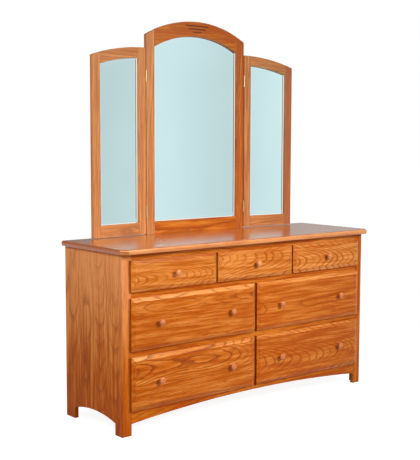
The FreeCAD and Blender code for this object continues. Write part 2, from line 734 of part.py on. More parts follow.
def disc(owner, radius, lift="0"):
    """A circle about the body's upright axis."""
    sketch = owner.newObject("Sketcher::SketchObject", "Circle")
    sketch.AttachmentSupport = [(origin_plane(owner, "XY_Plane"), "")]
    sketch.MapMode = "FlatFace"
    bind(sketch, AttachmentOffset__Base__z=lift)
    size = value(owner, radius)
    sketch.addGeometry(Part.Circle(FreeCAD.Vector(), FreeCAD.Vector(0, 0, 1), size))
    sketch.addConstraint(Sketcher.Constraint("Coincident", 0, 3, -1, 1))
    number = sketch.addConstraint(Sketcher.Constraint("Radius", 0, size))
    sketch.setExpression(f"Constraints[{number}]", formula(radius))
    return sketch


def hinge_leaf(label, x, knuckles):
    """A leaf plate with its knuckles, about the pin axis. knuckles are the thirds of the barrel that it has."""
    leaf = body(label)
    pad(leaf, rectangle(leaf, "XY_Plane", "leaf_thickness", "leaf_depth", x, "knuckle_standoff"), "hinge_length")
    third = "hinge_length / 3"
    for number in knuckles:
        low = f"{number} * {third}" if number == 0 else f"{number} * {third} + knuckle_gap / 2"
        height = f"{third} - knuckle_gap" if number == 1 else f"{third} - knuckle_gap / 2"
        pad(leaf, rectangle(leaf, "XY_Plane", "leaf_thickness", "knuckle_standoff", x, "0", low), height)
        pad(leaf, disc(leaf, "knuckle_radius", low), height)
    return leaf


def hinges():
    """Two butt hinges at each seam. The pin is fast in the fixed leaf, and the wing's leaf turns on it."""
    fixed, swung = [], []
    for level in ("upper", "lower"):
        height = f"{level}_hinge_z"
        carrier = hinge_leaf(f"{level}_fixed_leaf", "-wing_in", (0, 2))
        pad(carrier, disc(carrier, "pin_radius"), "hinge_length")
        fixed.append(place(carrier, "hinge_x", "hinge_y", height))
        turner = hinge_leaf(f"{level}_wing_leaf", "wing_in - leaf_thickness", (1,))
        pocket(turner, disc(turner, "pin_radius + pin_clearance"), "hinge_length", backwards=True)
        swung.append(hang(turner, z=height))
    return fixed, swung


def mirror():
    centre_panel()
    right_wing = wing()
    fixed, swung = hinges()
    right_wing.append(group("right_wing_hinge_leaves", swung))
    for piece in right_wing:
        node(piece)
        node(mirrored(piece.Label.replace("right", "left"), piece))
    twins = [mirrored(f"{piece.Label}_left", piece) for piece in fixed]
    node(group("centre_hinge_leaves", fixed + twins))


# Build, check and write

def check():
    """Stop if anything in the document failed, or if a sub-part isn't sound."""
    for thing in doc.Objects:
        if "Invalid" in thing.State or "Error" in thing.State:
            raise RuntimeError(f"{thing.Label} failed: {thing.State}")
    for thing in nodes:
        if thing.Shape.isNull() or not thing.Shape.isValid() or not thing.Shape.Solids:
            raise RuntimeError(f"{thing.Label} isn't a sound solid")


case()
drawers()
mirror()
doc.recompute()
check()
os.makedirs("parts", exist_ok=True)
for thing in nodes:
    thing.Shape.exportStep(f"parts/{thing.Label}.step")
    print(f"{thing.Label}: {len(thing.Shape.Solids)} solids, {thing.Shape.Volume / 1000:.1f} cm3")
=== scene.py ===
import math

import bmesh
import bpy
from bpy.props import FloatProperty, FloatVectorProperty, PointerProperty
from mathutils import Matrix, Vector


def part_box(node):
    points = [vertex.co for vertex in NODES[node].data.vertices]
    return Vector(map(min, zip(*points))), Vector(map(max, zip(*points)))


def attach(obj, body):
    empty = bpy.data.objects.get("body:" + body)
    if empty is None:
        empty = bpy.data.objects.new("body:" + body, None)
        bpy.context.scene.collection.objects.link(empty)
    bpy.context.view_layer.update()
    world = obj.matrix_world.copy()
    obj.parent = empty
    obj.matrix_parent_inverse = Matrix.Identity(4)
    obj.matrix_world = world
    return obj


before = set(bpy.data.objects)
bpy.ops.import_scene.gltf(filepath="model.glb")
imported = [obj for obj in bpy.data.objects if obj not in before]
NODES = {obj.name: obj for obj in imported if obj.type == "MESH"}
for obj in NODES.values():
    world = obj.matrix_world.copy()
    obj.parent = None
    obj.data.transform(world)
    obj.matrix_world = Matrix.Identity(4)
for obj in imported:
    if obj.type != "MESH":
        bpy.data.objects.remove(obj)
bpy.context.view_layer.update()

bl_info = {
    "name": "Oak Dresser Dressing",
    "version": (1, 0, 0),
    "blender": (4, 5, 0),
    "location": "3D View > Sidebar > Dresser",
    "description": "Oak, lacquer, mirror glass, brass and fixings for the dresser with a three-panel mirror",
    "category": "Object",
}

MM = 0.001
SIDES = (("left", -1), ("right", 1))
# Each drawer's front board: its cut, how deep its tone is and how strong its figure. The tone differs from
# board to board, and is deeper on the lower rows, a painted shade
DRAWERS = {
    "upper_left": (71, 0.12, 0.9),
    "upper_centre": (74, 0.2, 1.0),
    "upper_right": (77, 0.0, 1.0),
    "middle_left": (80, 0.35, 1.15),
    "middle_right": (83, 0.60, 0.85),
    "lower_left": (86, 0.58, 1.3),
    "lower_right": (89, 0.58, 1.1),
}
# Each row's fronts: the painted light on the upper bevel, a painted shadow on the upper row and a painted
# highlight on the others, and the width of the rings beside the usual one
PAINTED_BEVEL_LIGHT = {"upper": 0.35, "middle": -0.55, "lower": -0.35}
FRONT_RINGS = {"upper": 0.85, "middle": 0.7, "lower": 0.85}
FRONT_BEVEL = 19 * MM
# The knobs stand out just over this far, and are cut elsewhere in the trunk than their front board
KNOB_REACH = 24.8 * MM
KNOB_CUT = (3.1, 0.047, 0.011)
BOX_WALL = 12 * MM
DOVETAIL_PITCH = 25 * MM
TOP_EDGE_ROUGHNESS = 0.42
# The strip of glass along the frame with its painted glint, how much it leans, and the height of the
# lower bevel that shows
EDGE_STRIP = 7 * MM
EDGE_LEAN = 0.35
GLASS_FOOT = 22 * MM
BACKING = 3 * MM
# Just outside the centre panel of the mirror, and halfway between the stiles of the right wing
PANEL_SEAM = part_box("mirror_stiles")[1].x + 9 * MM
WING_MIDDLE = sum(corner.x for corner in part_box("right_wing_stiles")) / 2
# The space round the carved grooves: half its length, its depth behind the face, its drop below the top
GROOVE_REACH = 85 * MM
GROOVE_DEPTH = (0.5 * MM, 3.5 * MM)
GROOVE_DROP = (12 * MM, 62 * MM)
# Which way the grain runs, then across the board, then through it
ALONG_X = (0, 2, 1)
ALONG_X_FLAT = (0, 1, 2)
ALONG_Z = (2, 0, 1)
ALONG_Z_SIDE = (2, 1, 0)
ALONG_Y = (1, 2, 0)
ALONG_Y_FLAT = (1, 0, 2)
UP = Vector((0, 0, 1))
RIGHT = Vector((1, 0, 0))
BACK = Vector((0, 1, 0))


def colour(name, text, default):
    return FloatVectorProperty(name=name, description=text, default=default, size=3, subtype="COLOR",
                               min=0, max=1)


def share(name, text, default):
    return FloatProperty(name=name, description=text, default=default, min=0, max=1, subtype="FACTOR")


def angle(name, text, degrees):
    return FloatProperty(name=name, description=text, default=math.radians(degrees), subtype="ANGLE")


class OakSettings(bpy.types.PropertyGroup):
    """Colours and figure of the oak that shows."""

    honey: colour("Honey", "Light wood between the growth rings", (0.82, 0.310, 0.076))
    amber: colour("Amber", "Deeper tone of some boards", (0.50, 0.105, 0.003))
    ring: colour("Ring", "Dark early wood of each growth ring", (0.30, 0.052, 0.004))
    pore: colour("Pore", "Open pores filled with stain", (0.13, 0.024, 0.005))
    sheen: colour("Sheen", "Tint of the shine on satin lacquer", (1.0, 0.72, 0.46))
    # A greyer brown on the mirror frames, a painted haze of reflection
    painted_haze_tint: colour("Dull", "Greyer brown that the mirror frames have taken on", (0.42, 0.27, 0.17))
    # Paler wood of the knobs, partly a painted highlight; the painted sheen of the upright boards uses it too
    knob_and_sheen: colour("Knob", "Pale turned wood of the knobs", (0.86, 0.39, 0.22))
    bare: colour("Bare wood", "Unfinished wood of drawer boxes and runners", (0.70, 0.48, 0.26))
    bare_ring: colour("Bare ring", "Growth rings of the unfinished wood", (0.47, 0.26, 0.11))
    ring_width: FloatProperty(name="Ring width", description="Mean width of a growth ring", default=5 * MM,
                              min=1 * MM, unit="LENGTH")
    pore_depth: FloatProperty(name="Pore depth", description="How deep the pores are", default=0.15 * MM,
                              min=0, unit="LENGTH")
    edge: FloatProperty(name="Eased edge", description="Rounding of a board's edges", default=1.2 * MM, min=0,
                        unit="LENGTH")


class FinishSettings(bpy.types.PropertyGroup):
    """Lacquer, glass and metal."""

    gloss: share("Lacquer roughness", "Roughness of the lacquer on the top", 0.19)
    satin: share("Satin roughness", "Roughness of the lacquer elsewhere", 0.24)
    glass: colour("Mirror tint", "Tint of the silvered glass", (0.58, 0.77, 0.79))
    # Paler tints: the bevel's, a little, as a painted highlight; the glass edge's, as a painted glint
    bevel: colour("Bevel tint", "Tint of the bevelled border", (0.60, 0.78, 0.80))
    painted_edge_glint: colour("Glass edge", "Outermost strip of the bevel, which catches the light", (0.93, 0.90, 0.84))
    brass: colour("Brass", "Colour of the hinges, screws, nails and clips", (0.62, 0.47, 0.22))
    brass_roughness: share("Brass roughness", "Roughness of the brass", 0.32)


class StudioSettings(bpy.types.PropertyGroup):
    """Floor, light and camera."""

    floor: colour("Floor", "Colour that the floor throws back onto the dresser", (0.42, 0.32, 0.24))
    key: FloatProperty(name="Key light", description="Power of the large light above the front", default=20.8,
                       min=0, unit="POWER")
    fill: FloatProperty(name="Fill light", description="Power of the light from the left", default=27,
                        min=0, unit="POWER")
    sky: FloatProperty(name="Surround", description="Strength of the surrounding light", default=0.42, min=0)
    backdrop: colour("Backdrop", "What the gloss of the top shows of the room behind", (0.50, 0.50, 0.49))
    azimuth: angle("Azimuth", "Camera's turn from the front", -39.90)
    elevation: angle("Elevation", "Camera's height angle", 5.414)
    roll: angle("Roll", "Camera's roll", 0.185)
    distance: FloatProperty(name="Distance", description="Camera to its aim", default=4.8419, min=1,
                            unit="LENGTH")
    aim: FloatVectorProperty(name="Aim", description="What the camera points at", size=3, subtype="XYZ",
                             default=(-0.1015, 0, 0.8911), unit="LENGTH")
    lens: FloatProperty(name="Lens", description="Focal length of the camera on a 36 mm sensor",
                        default=74.21, min=10)


# Node trees

class Tree:
    """Short calls for building a node tree."""

    def __init__(self, tree):
        self.tree = tree

    def add(self, kind, **values):
        """A node. A key that names a property sets it; one that starts with a capital sets an input."""
        node = self.tree.nodes.new(kind if kind.startswith("NodeGroup") else "ShaderNode" + kind)
        for key, value in values.items():
            if key[0].isupper():
                self.feed(node.inputs[key.replace("_", " ")], value)
            else:
                setattr(node, key, value)
        return node

    def feed(self, socket, value):
        if isinstance(value, bpy.types.NodeSocket):
            self.tree.links.new(value, socket)
        else:
            socket.default_value = value

    def math(self, operation, *values, clamp=False):
        node = self.add("Math", operation=operation, use_clamp=clamp)
        for socket, value in zip(node.inputs, values):
            self.feed(socket, value)
        return node.outputs[0]

    def sum(self, *values):
        total = values[0]
        for value in values[1:]:
            total = self.math("ADD", total, value)
        return total

    def times(self, *values):
        total = values[0]
        for value in values[1:]:
            total = self.math("MULTIPLY", total, value)
        return total

    def centred(self, value):
        """A value from 0 to 1, moved to run from -0.5 to 0.5."""
        return self.math("SUBTRACT", value, 0.5)

    def vector(self, x=0.0, y=0.0, z=0.0):
        return self.add("CombineXYZ", X=x, Y=y, Z=z).outputs[0]

    def split(self, vector):
        return self.add("SeparateXYZ", Vector=vector).outputs

    def noise(self, vector, detail=2.0, roughness=0.5):
        """Noise from 0 to 1 about 0.5, at the scale of the vector."""
        made = self.add("TexNoise", Vector=vector, Scale=1.0, Detail=detail, Roughness=roughness)
        return made.outputs["Fac"]

    def cloud(self, spot, scale, detail=2.0):
        """Noise that is stretched by a scale for each direction."""
        return self.noise(self.add("Mapping", Vector=spot, Scale=scale).outputs[0], detail)

    def span(self, value, low, high, to_low=0.0, to_high=1.0, smooth=True):
        node = self.add("MapRange", interpolation_type="SMOOTHSTEP" if smooth else "LINEAR", Value=value)
        for name, number in (("From Min", low), ("From Max", high), ("To Min", to_low), ("To Max", to_high)):
            self.feed(node.inputs[name], number)
        return node.outputs[0]

    def mix(self, factor, first, second):
        node = self.add("Mix", data_type="RGBA")
        self.feed(node.inputs["Factor"], factor)
        for socket, value in ((node.inputs[6], first), (node.inputs[7], second)):
            self.feed(socket, value if isinstance(value, bpy.types.NodeSocket) else (*value, 1))
        return node.outputs[2]

    def choose(self, factor, first, second):
        """first where the factor is 0, second where it is 1, for vectors."""
        node = self.add("Mix", data_type="VECTOR")
        self.feed(node.inputs["Factor"], factor)
        self.feed(node.inputs[4], first)
        self.feed(node.inputs[5], second)
        return node.outputs[1]


def material(name):
    made = bpy.data.materials.new(name)
    made.use_nodes = True
    made.node_tree.nodes.clear()
    return made, Tree(made.node_tree)


def finish_surface(tree, **sockets):
    """Principled surface. Sockets are named with underscores for spaces."""
    surface = tree.add("BsdfPrincipled", **sockets)
    out = tree.add("OutputMaterial")
    tree.feed(out.inputs["Surface"], surface.outputs[0])


def figure_group():
    """The grain of a flat-sawn board, cut from a trunk whose rings lie about a wandering pith.

    Position runs along the grain in X, across the board in Y and through it in Z. Boards of a glued-up
    panel lie side by side, each Board Width wide, and each is cut from another place.
    """
    known = bpy.data.node_groups.get("Oak figure")
    if known:
        return known
    group = bpy.data.node_groups.new("Oak figure", "ShaderNodeTree")
    group.interface.new_socket("Position", in_out="INPUT", socket_type="NodeSocketVector")
    for name, default in (("Seed", 0.0), ("Board Width", 120 * MM), ("Board Start", 0.0),
                          ("Ring Width", 6 * MM), ("Wander", 1.0)):
        socket = group.interface.new_socket(name, in_out="INPUT", socket_type="NodeSocketFloat")
        socket.default_value = default
    for name in ("Ring", "Pore", "Tone", "Board"):
        group.interface.new_socket(name, in_out="OUTPUT", socket_type="NodeSocketFloat")
    tree = Tree(group)
    given = tree.add("NodeGroupInput").outputs
    along, across, through = tree.split(given["Position"])
    seed = given["Seed"]
    width = given["Board Width"]
    wander = given["Wander"]

    def streaks(rates, shifts=(0.0, 0.0, 0.0), detail=2.0, roughness=0.5):
        """Noise with so many features to the metre along, across and through the board."""
        ways = (along, across, through)
        moved = [tree.sum(tree.times(way, rate), by) for way, rate, by in zip(ways, rates, shifts)]
        return tree.noise(tree.vector(*moved), detail, roughness)

    place = tree.math("DIVIDE", tree.math("SUBTRACT", across, given["Board Start"]), width)
    board = tree.math("FLOOR", place)
    local = tree.times(tree.centred(tree.math("FRACT", place)), width)
    dice = tree.add("TexWhiteNoise", noise_dimensions="2D",
                    Vector=tree.vector(tree.sum(board, 0.37), seed)).outputs["Color"]
    first, second, third = tree.add("SeparateColor", Color=dice).outputs
    shift = tree.times(first, 53.0)
    # Where the pith lies, seen from this point of the board: 50 to 140 mm deep, sloping and wandering
    sway = streaks((0.9, 1.5, 0.0), (shift, 0.0, seed), detail=1.0)
    swell = streaks((3.0, 4.0, 0.0), (shift, 0.0, tree.sum(seed, 7.7)), detail=1.0)
    slope = tree.times(tree.centred(third), 0.16, wander)
    deep = tree.sum(through, tree.sum(50 * MM, tree.times(second, 90 * MM)), tree.times(along, slope),
                    tree.times(tree.centred(sway), 60 * MM, wander),
                    tree.times(tree.centred(swell), 14 * MM, wander))
    aside = tree.sum(local, tree.times(tree.centred(first), width, 0.7),
                     tree.times(tree.centred(sway), 30 * MM, wander))
    radius = tree.math("SQRT", tree.sum(tree.times(aside, aside), tree.times(deep, deep)))
    # Rings about the pith, a little ragged, each with more or less of the dark early wood
    ripple = streaks((9.0, 50.0, 50.0), (0.0, 0.0, shift), detail=3.0, roughness=0.6)
    count = tree.sum(tree.math("DIVIDE", radius, given["Ring Width"]),
                     tree.times(tree.centred(ripple), 0.72))
    part = tree.math("FRACT", count)
    ring_and_board = tree.vector(tree.math("FLOOR", count), tree.sum(board, seed))
    weight = tree.add("TexWhiteNoise", noise_dimensions="2D", Vector=ring_and_board).outputs["Value"]
    early = tree.math("ADD", tree.span(part, 0.38, 0.02), tree.span(part, 0.94, 1.0), clamp=True)
    ring = tree.times(early, tree.span(weight, 0, 1, to_low=0.25, to_high=1.0, smooth=False))
    # Short fine pores in the early wood, and longer dashes all over
    pores = streaks((70.0, 1500.0, 1500.0), detail=1.0)
    dashes = streaks((16.0, 240.0, 240.0), (shift, 0.0, 0.0))
    fine = tree.times(tree.span(pores, 0.52, 0.64), tree.span(early, 0, 1, to_low=0.18, to_high=0.8))
    pore = tree.math("ADD", fine, tree.times(tree.span(dashes, 0.54, 0.70), 0.7), clamp=True)
    tone = streaks((3.5, 60.0, 60.0), (0.0, 0.0, shift), detail=4.0, roughness=0.6)
    out = tree.add("NodeGroupOutput")
    for name, value in (("Ring", ring), ("Pore", pore), ("Tone", tone), ("Board", second)):
        tree.feed(out.inputs[name], value)
    return group


def richer(tree, shade, light):
    """The deeper the tone of lacquered oak, the more of its blue and green is gone."""
    parts = tree.add("SeparateColor", Color=shade).outputs
    rich = tree.add("CombineColor")
    powers = (1.03, 1.13, 1.7)
    for socket, part, level, power in zip(rich.inputs, parts, light, powers):
        tree.feed(socket, tree.times(level ** (1 - power), tree.math("POWER", part, power)))
    return rich.outputs[0]


def wood(name, axes, seed, board=0.12, start=0.0, wander=1.0, roughness=0.24, coat=0.0, coat_roughness=0.1,
         gloss=0.15, rings=1.0, bare=False, contrast=1.0, warm=0.0, relief=0.0, turn=0.0, change=None,
         stain=None, polish=None):
    """A wooden finish.

    axes says which way the grain runs, and turn how far the board is turned about the upright. board is the
    width of a glued-up board and start is where the first begins. seed is the cut. warm says how deep the
    tone is, as a number or a function; on some boards it is painted light and shade. Functions of the tree
    and the position too: change, which swaps the grain position of some boards of a node; stain, where the
    wood takes another colour, and which, on some boards painted light and shade; polish, where the surface
    is smoother, and how much.
    """
    oak = bpy.context.scene.dresser_oak
    made, tree = material(name)
    spot = tree.add("TexCoord").outputs["Object"]
    square = spot
    if turn:
        square = tree.add("VectorRotate", rotation_type="Z_AXIS", Vector=spot, Angle=-turn).outputs[0]
    xyz = tree.split(square)
    grain = tree.vector(*(xyz[axis] for axis in axes))
    if change:
        grain = change(tree, spot, grain)
    figure = tree.add("Group", node_tree=figure_group(), Position=grain, Seed=float(seed), Board_Width=board,
                      Board_Start=start, Ring_Width=oak.ring_width * rings, Wander=wander)
    ring, pore, tone, plank = figure.outputs
    light, deep, dark, filled = oak.honey, oak.amber, oak.ring, oak.pore
    end_grain, bump_strength = 0.72, 0.35
    if bare:
        light, deep, dark, filled = oak.bare, oak.bare, oak.bare_ring, oak.bare_ring
        end_grain, bump_strength = 0.3, 0.6
    if callable(warm):
        warm = warm(tree, spot)
    else:
        # The deeper a board's tone, the less blue its light wood has
        light = (light[0], light[1], light[2] * (1 - 0.8 * warm))
    # Tone by streaks and boards and the given tone, which is painted light and shade for some boards, then
    # rings, pores and end grain over it
    tone_and_painted_shade = tree.sum(tree.times(tree.span(tone, 0.3, 0.7), 0.9), tree.times(plank, 0.3), -0.35)
    shade = tree.mix(tree.math("ADD", tone_and_painted_shade, warm, clamp=True), light, deep)
    shade = tree.mix(tree.math("MULTIPLY", ring, 0.80 * contrast, clamp=True), shade, dark)
    shade = tree.mix(tree.math("MULTIPLY", pore, 0.55 * contrast, clamp=True), shade, filled)
    facing = tree.split(tree.add("TexCoord").outputs["Normal"])[axes[0]]
    end = tree.span(tree.math("ABSOLUTE", facing), 0.25, 0.95)
    shade = tree.mix(tree.times(end, end_grain), shade, dark)
    if not bare:
        shade = richer(tree, shade, light)
    if stain:
        where, tint = stain(tree, spot)
        shade = tree.mix(where, shade, tint)
    rough = tree.sum(roughness, tree.times(pore, 0.10), tree.times(tree.centred(tone), 0.06))
    if polish:
        rough = tree.math("SUBTRACT", rough, polish(tree, spot))
    depth = tree.math("SUBTRACT", 0.0, tree.sum(pore, tree.times(ring, 0.3), tree.times(tone, relief)))
    bump = tree.add("Bump", Strength=bump_strength, Distance=oak.pore_depth, Height=depth)
    finish_surface(tree, Normal=bump.outputs[0], Base_Color=shade, Roughness=rough,
                   Specular_IOR_Level=gloss, Specular_Tint=(*oak.sheen, 1), Coat_Weight=coat,
                   Coat_Roughness=coat_roughness, Coat_IOR=1.5)
    return made


def dress(node, finish, edge=0.0, limit=30.0):
    """Give a CAD node its finish, and ease its edges."""
    piece = NODES[node]
    for place in piece.material_slots:
        place.link = "OBJECT"
        place.material = finish
    if edge:
        weld = piece.modifiers.new("Join faces", "WELD")
        weld.merge_threshold = 0.01 * MM
        ease = piece.modifiers.new("Eased edges", "BEVEL")
        ease.width = edge
        ease.segments = 2
        ease.limit_method = "ANGLE"
        ease.angle_limit = math.radians(limit)
        ease.harden_normals = True


# Case

class DRESSER_OT_case(bpy.types.Operator):
    """Finish the case: sides, stiles, rails, apron, back panel and what is inside"""

    bl_idname = "dresser.case"
    bl_label = "Case"

    def execute(self, context):
        edge = context.scene.dresser_oak.edge
        satin = context.scene.dresser_finish.satin
        # The side panels and the left stile carry a painted sheen on their upper part
        for side, sign in SIDES:
            # Painted light and shade on the side panels: lighter high up, deeper in tone towards the floor
            panel = wood(f"{side} side oak", ALONG_Z_SIDE, 11 + sign, board=0.116, start=-0.012,
                         roughness=satin, gloss=0.06, wander=0.4, rings=0.55, contrast=0.85,
                         warm=self.tone_and_painted_shade, stain=self.painted_upper_sheen)
            dress(f"{side}_side", panel, edge)
            # The left stile takes the panels' painted light, shade and sheen; the right stile is painted a
            # deeper tone all over, a painted shade
            tone, stain = (self.tone_and_painted_shade, self.painted_upper_sheen) if side == "left" else (0.75, None)
            stile = wood(f"{side} stile oak", ALONG_Z, 22 + sign, board=0.30, start=-0.15, roughness=satin,
                         coat=0.02, wander=0.3, warm=tone, stain=stain)
            dress(f"{side}_stile", stile, edge / 2)
        # Each rail lower down is painted a deeper tone, a painted shade towards the floor
        for number, (rail, contrast) in enumerate((("top_rail", 0.7), ("upper_rail", 1.0),
                                                   ("middle_rail", 1.0), ("apron", 1.0))):
            board = wood(f"{rail} oak", ALONG_X, 31 + number, board=0.20, start=-0.05, roughness=satin,
                         coat=0.02, wander=0.6, warm=0.3 + 0.15 * number, contrast=contrast)
            dress(rail, board, edge / 2)
        dress("drawer_dividers", wood("Divider oak", ALONG_Z, 41, board=0.26, start=-0.13, roughness=satin,
                                      coat=0.02, wander=0.6), edge / 2)
        dress("back_panel", wood("Back plywood", ALONG_X, 51, board=0.9, start=-0.05, roughness=0.55,
                                 bare=True, wander=1.8, contrast=0.6))
        for number, (node, label, axes, board, start) in enumerate((
                ("drawer_runners", "Runner wood", ALONG_Y_FLAT, 0.19, -0.095),
                ("rear_rails", "Rear rail wood", ALONG_X, 0.12, 0.0),
                ("top_cleats", "Cleat wood", ALONG_Y_FLAT, 0.3, -0.15))):
            inner = wood(label, axes, 52 + number, board=board, start=start, roughness=0.6, bare=True,
                         contrast=0.7)
            dress(node, inner, edge / 2)
        return {"FINISHED"}

    def tone_and_painted_shade(self, tree, spot):
        """Painted light and shade: the upright boards are painted a little lighter high up and deeper in tone
        towards the floor.
        """
        height = tree.split(spot)[2]
        return tree.span(height, 0.85, 0.05, to_low=-0.36, to_high=0.75, smooth=False)

    def painted_upper_sheen(self, tree, spot):
        """Painted sheen: the upper part of the upright boards is painted a little pinker."""
        height = tree.split(spot)[2]
        return tree.span(height, 0.25, 0.85, to_low=0.0, to_high=0.24), bpy.context.scene.dresser_oak.knob_and_sheen


class DRESSER_OT_top(bpy.types.Operator):
    """Finish the top board, glued up from narrow boards and lacquered to a gloss"""

    bl_idname = "dresser.top"
    bl_label = "Top board"

    def execute(self, context):
        # The top's rounded edges carry painted light
        dress("top_board", wood("Top oak", ALONG_X_FLAT, 61, board=0.105, start=-0.29, gloss=0.5, relief=4.0,
                                roughness=TOP_EDGE_ROUGHNESS, wander=0.35, contrast=0.8,
                                warm=self.painted_light_on_edges, coat=1.0, coat_roughness=0.2, polish=self.rubbed))
        return {"FINISHED"}

    def painted_light_on_edges(self, tree, spot):
        """Painted light: the rounded edges are painted lighter than the polished flat, which is deeper in
        tone.
        """
        upward = tree.split(tree.add("TexCoord").outputs["Normal"])[2]
        return tree.span(upward, 0.5, 0.95, to_low=-0.2, to_high=0.55)

    def rubbed(self, tree, spot):
        """The flat of the top is polished, its rounded edges less so."""
        gain = TOP_EDGE_ROUGHNESS - bpy.context.scene.dresser_finish.gloss
        upward = tree.split(tree.add("TexCoord").outputs["Normal"])[2]
        return tree.span(upward, 0.90, 0.995, to_low=0.0, to_high=gain)


# Drawers

class DRESSER_OT_drawers(bpy.types.Operator):
    """Finish the drawer fronts with their knobs, the boxes and the bottoms"""

    bl_idname = "dresser.drawers"
    bl_label = "Drawers"

    def execute(self, context):
        oak = context.scene.dresser_oak
        finish = context.scene.dresser_finish
        for number, (drawer, cut) in enumerate(DRAWERS.items()):
            self.front(drawer, cut, oak, finish)
            self.box(drawer, 95 + number, oak)
        return {"FINISHED"}

    def front(self, drawer, cut, oak, finish):
        seed, warm, contrast = cut
        row = drawer.split("_")[0]
        low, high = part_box(f"{drawer}_front")

        def on_knob(tree, spot):
            return tree.math("LESS_THAN", tree.split(spot)[1], low.y + KNOB_REACH)

        def knob_grain(tree, spot, grain):
            away = tree.add("VectorMath", operation="ADD")
            tree.feed(away.inputs[0], grain)
            away.inputs[1].default_value = KNOB_CUT
            return tree.choose(on_knob(tree, spot), grain, away.outputs[0])

        # The knobs take a paler wood, partly a painted highlight
        def pale_knob_and_highlight(tree, spot):
            return tree.times(on_knob(tree, spot), 0.3), oak.knob_and_sheen

        def painted_bevel_light(tree, spot):
            """Painted light on the upper bevel: a painted shadow close under the top, and a painted highlight
            on the other rows.
            """
            bevel = tree.math("GREATER_THAN", tree.split(spot)[2], high.z - FRONT_BEVEL)
            return tree.sum(warm, tree.times(bevel, PAINTED_BEVEL_LIGHT[row]))

        # One board covers the whole height
        made = wood(f"{drawer} front oak", ALONG_X, seed, board=(high.z - low.z) * 1.001,
                    start=low.z - 0.0005 * MM, roughness=finish.satin + 0.06, gloss=0.26, wander=1.2,
                    rings=FRONT_RINGS[row], warm=painted_bevel_light, contrast=contrast, change=knob_grain,
                    stain=pale_knob_and_highlight)
        dress(f"{drawer}_front", made, 0.8 * MM, limit=20)

    def box(self, drawer, seed, oak):
        low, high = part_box(f"{drawer}_walls")
        middle = (low.x + high.x) / 2
        inner = (high.x - low.x) / 2 - BOX_WALL - 0.5 * MM

        def crosswise(tree, spot, grain):
            """The grain of the inner front and the back runs from side to side."""
            x, y, z = tree.split(spot)
            aside = tree.math("ABSOLUTE", tree.math("SUBTRACT", x, middle))
            return tree.choose(tree.math("LESS_THAN", aside, inner), grain, tree.vector(x, z, y))

        def dovetails(tree, spot):
            """The darker end grain of the pins shows at both ends of the box sides."""
            x, y, z = tree.split(spot)
            deep = tree.math("MINIMUM", tree.math("SUBTRACT", y, low.y), tree.math("SUBTRACT", high.y, y))
            place = tree.math("FRACT", tree.math("DIVIDE", tree.math("SUBTRACT", z, low.z), DOVETAIL_PITCH))
            half_pin = tree.span(deep, 0, BOX_WALL, to_low=0.14, to_high=0.24, smooth=False)
            pin = tree.math("LESS_THAN", tree.math("ABSOLUTE", tree.centred(place)), half_pin)
            sideways = tree.math("ABSOLUTE", tree.split(tree.add("TexCoord").outputs["Normal"])[0])
            outside = tree.math("GREATER_THAN", sideways, 0.5)
            return tree.times(pin, tree.math("LESS_THAN", deep, BOX_WALL), outside, 0.6), oak.bare_ring

        made = wood(f"{drawer} box wood", ALONG_Y, seed, board=0.5, start=low.z, roughness=0.5, bare=True,
                    contrast=0.6, change=crosswise, stain=dovetails)
        dress(f"{drawer}_walls", made)
        plywood = wood(f"{drawer} bottom plywood", ALONG_X_FLAT, seed + 20, board=0.9, start=-0.45,
                       roughness=0.5, bare=True, wander=1.8, contrast=0.5)
        dress(f"{drawer}_bottom", plywood)


# Mirror

def wing_tilt():
    """How far a wing stands forward at rest, from the box of its thin backing board."""
    low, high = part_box("right_wing_backing")
    return math.atan2(high.y - low.y - BACKING, high.x - low.x)


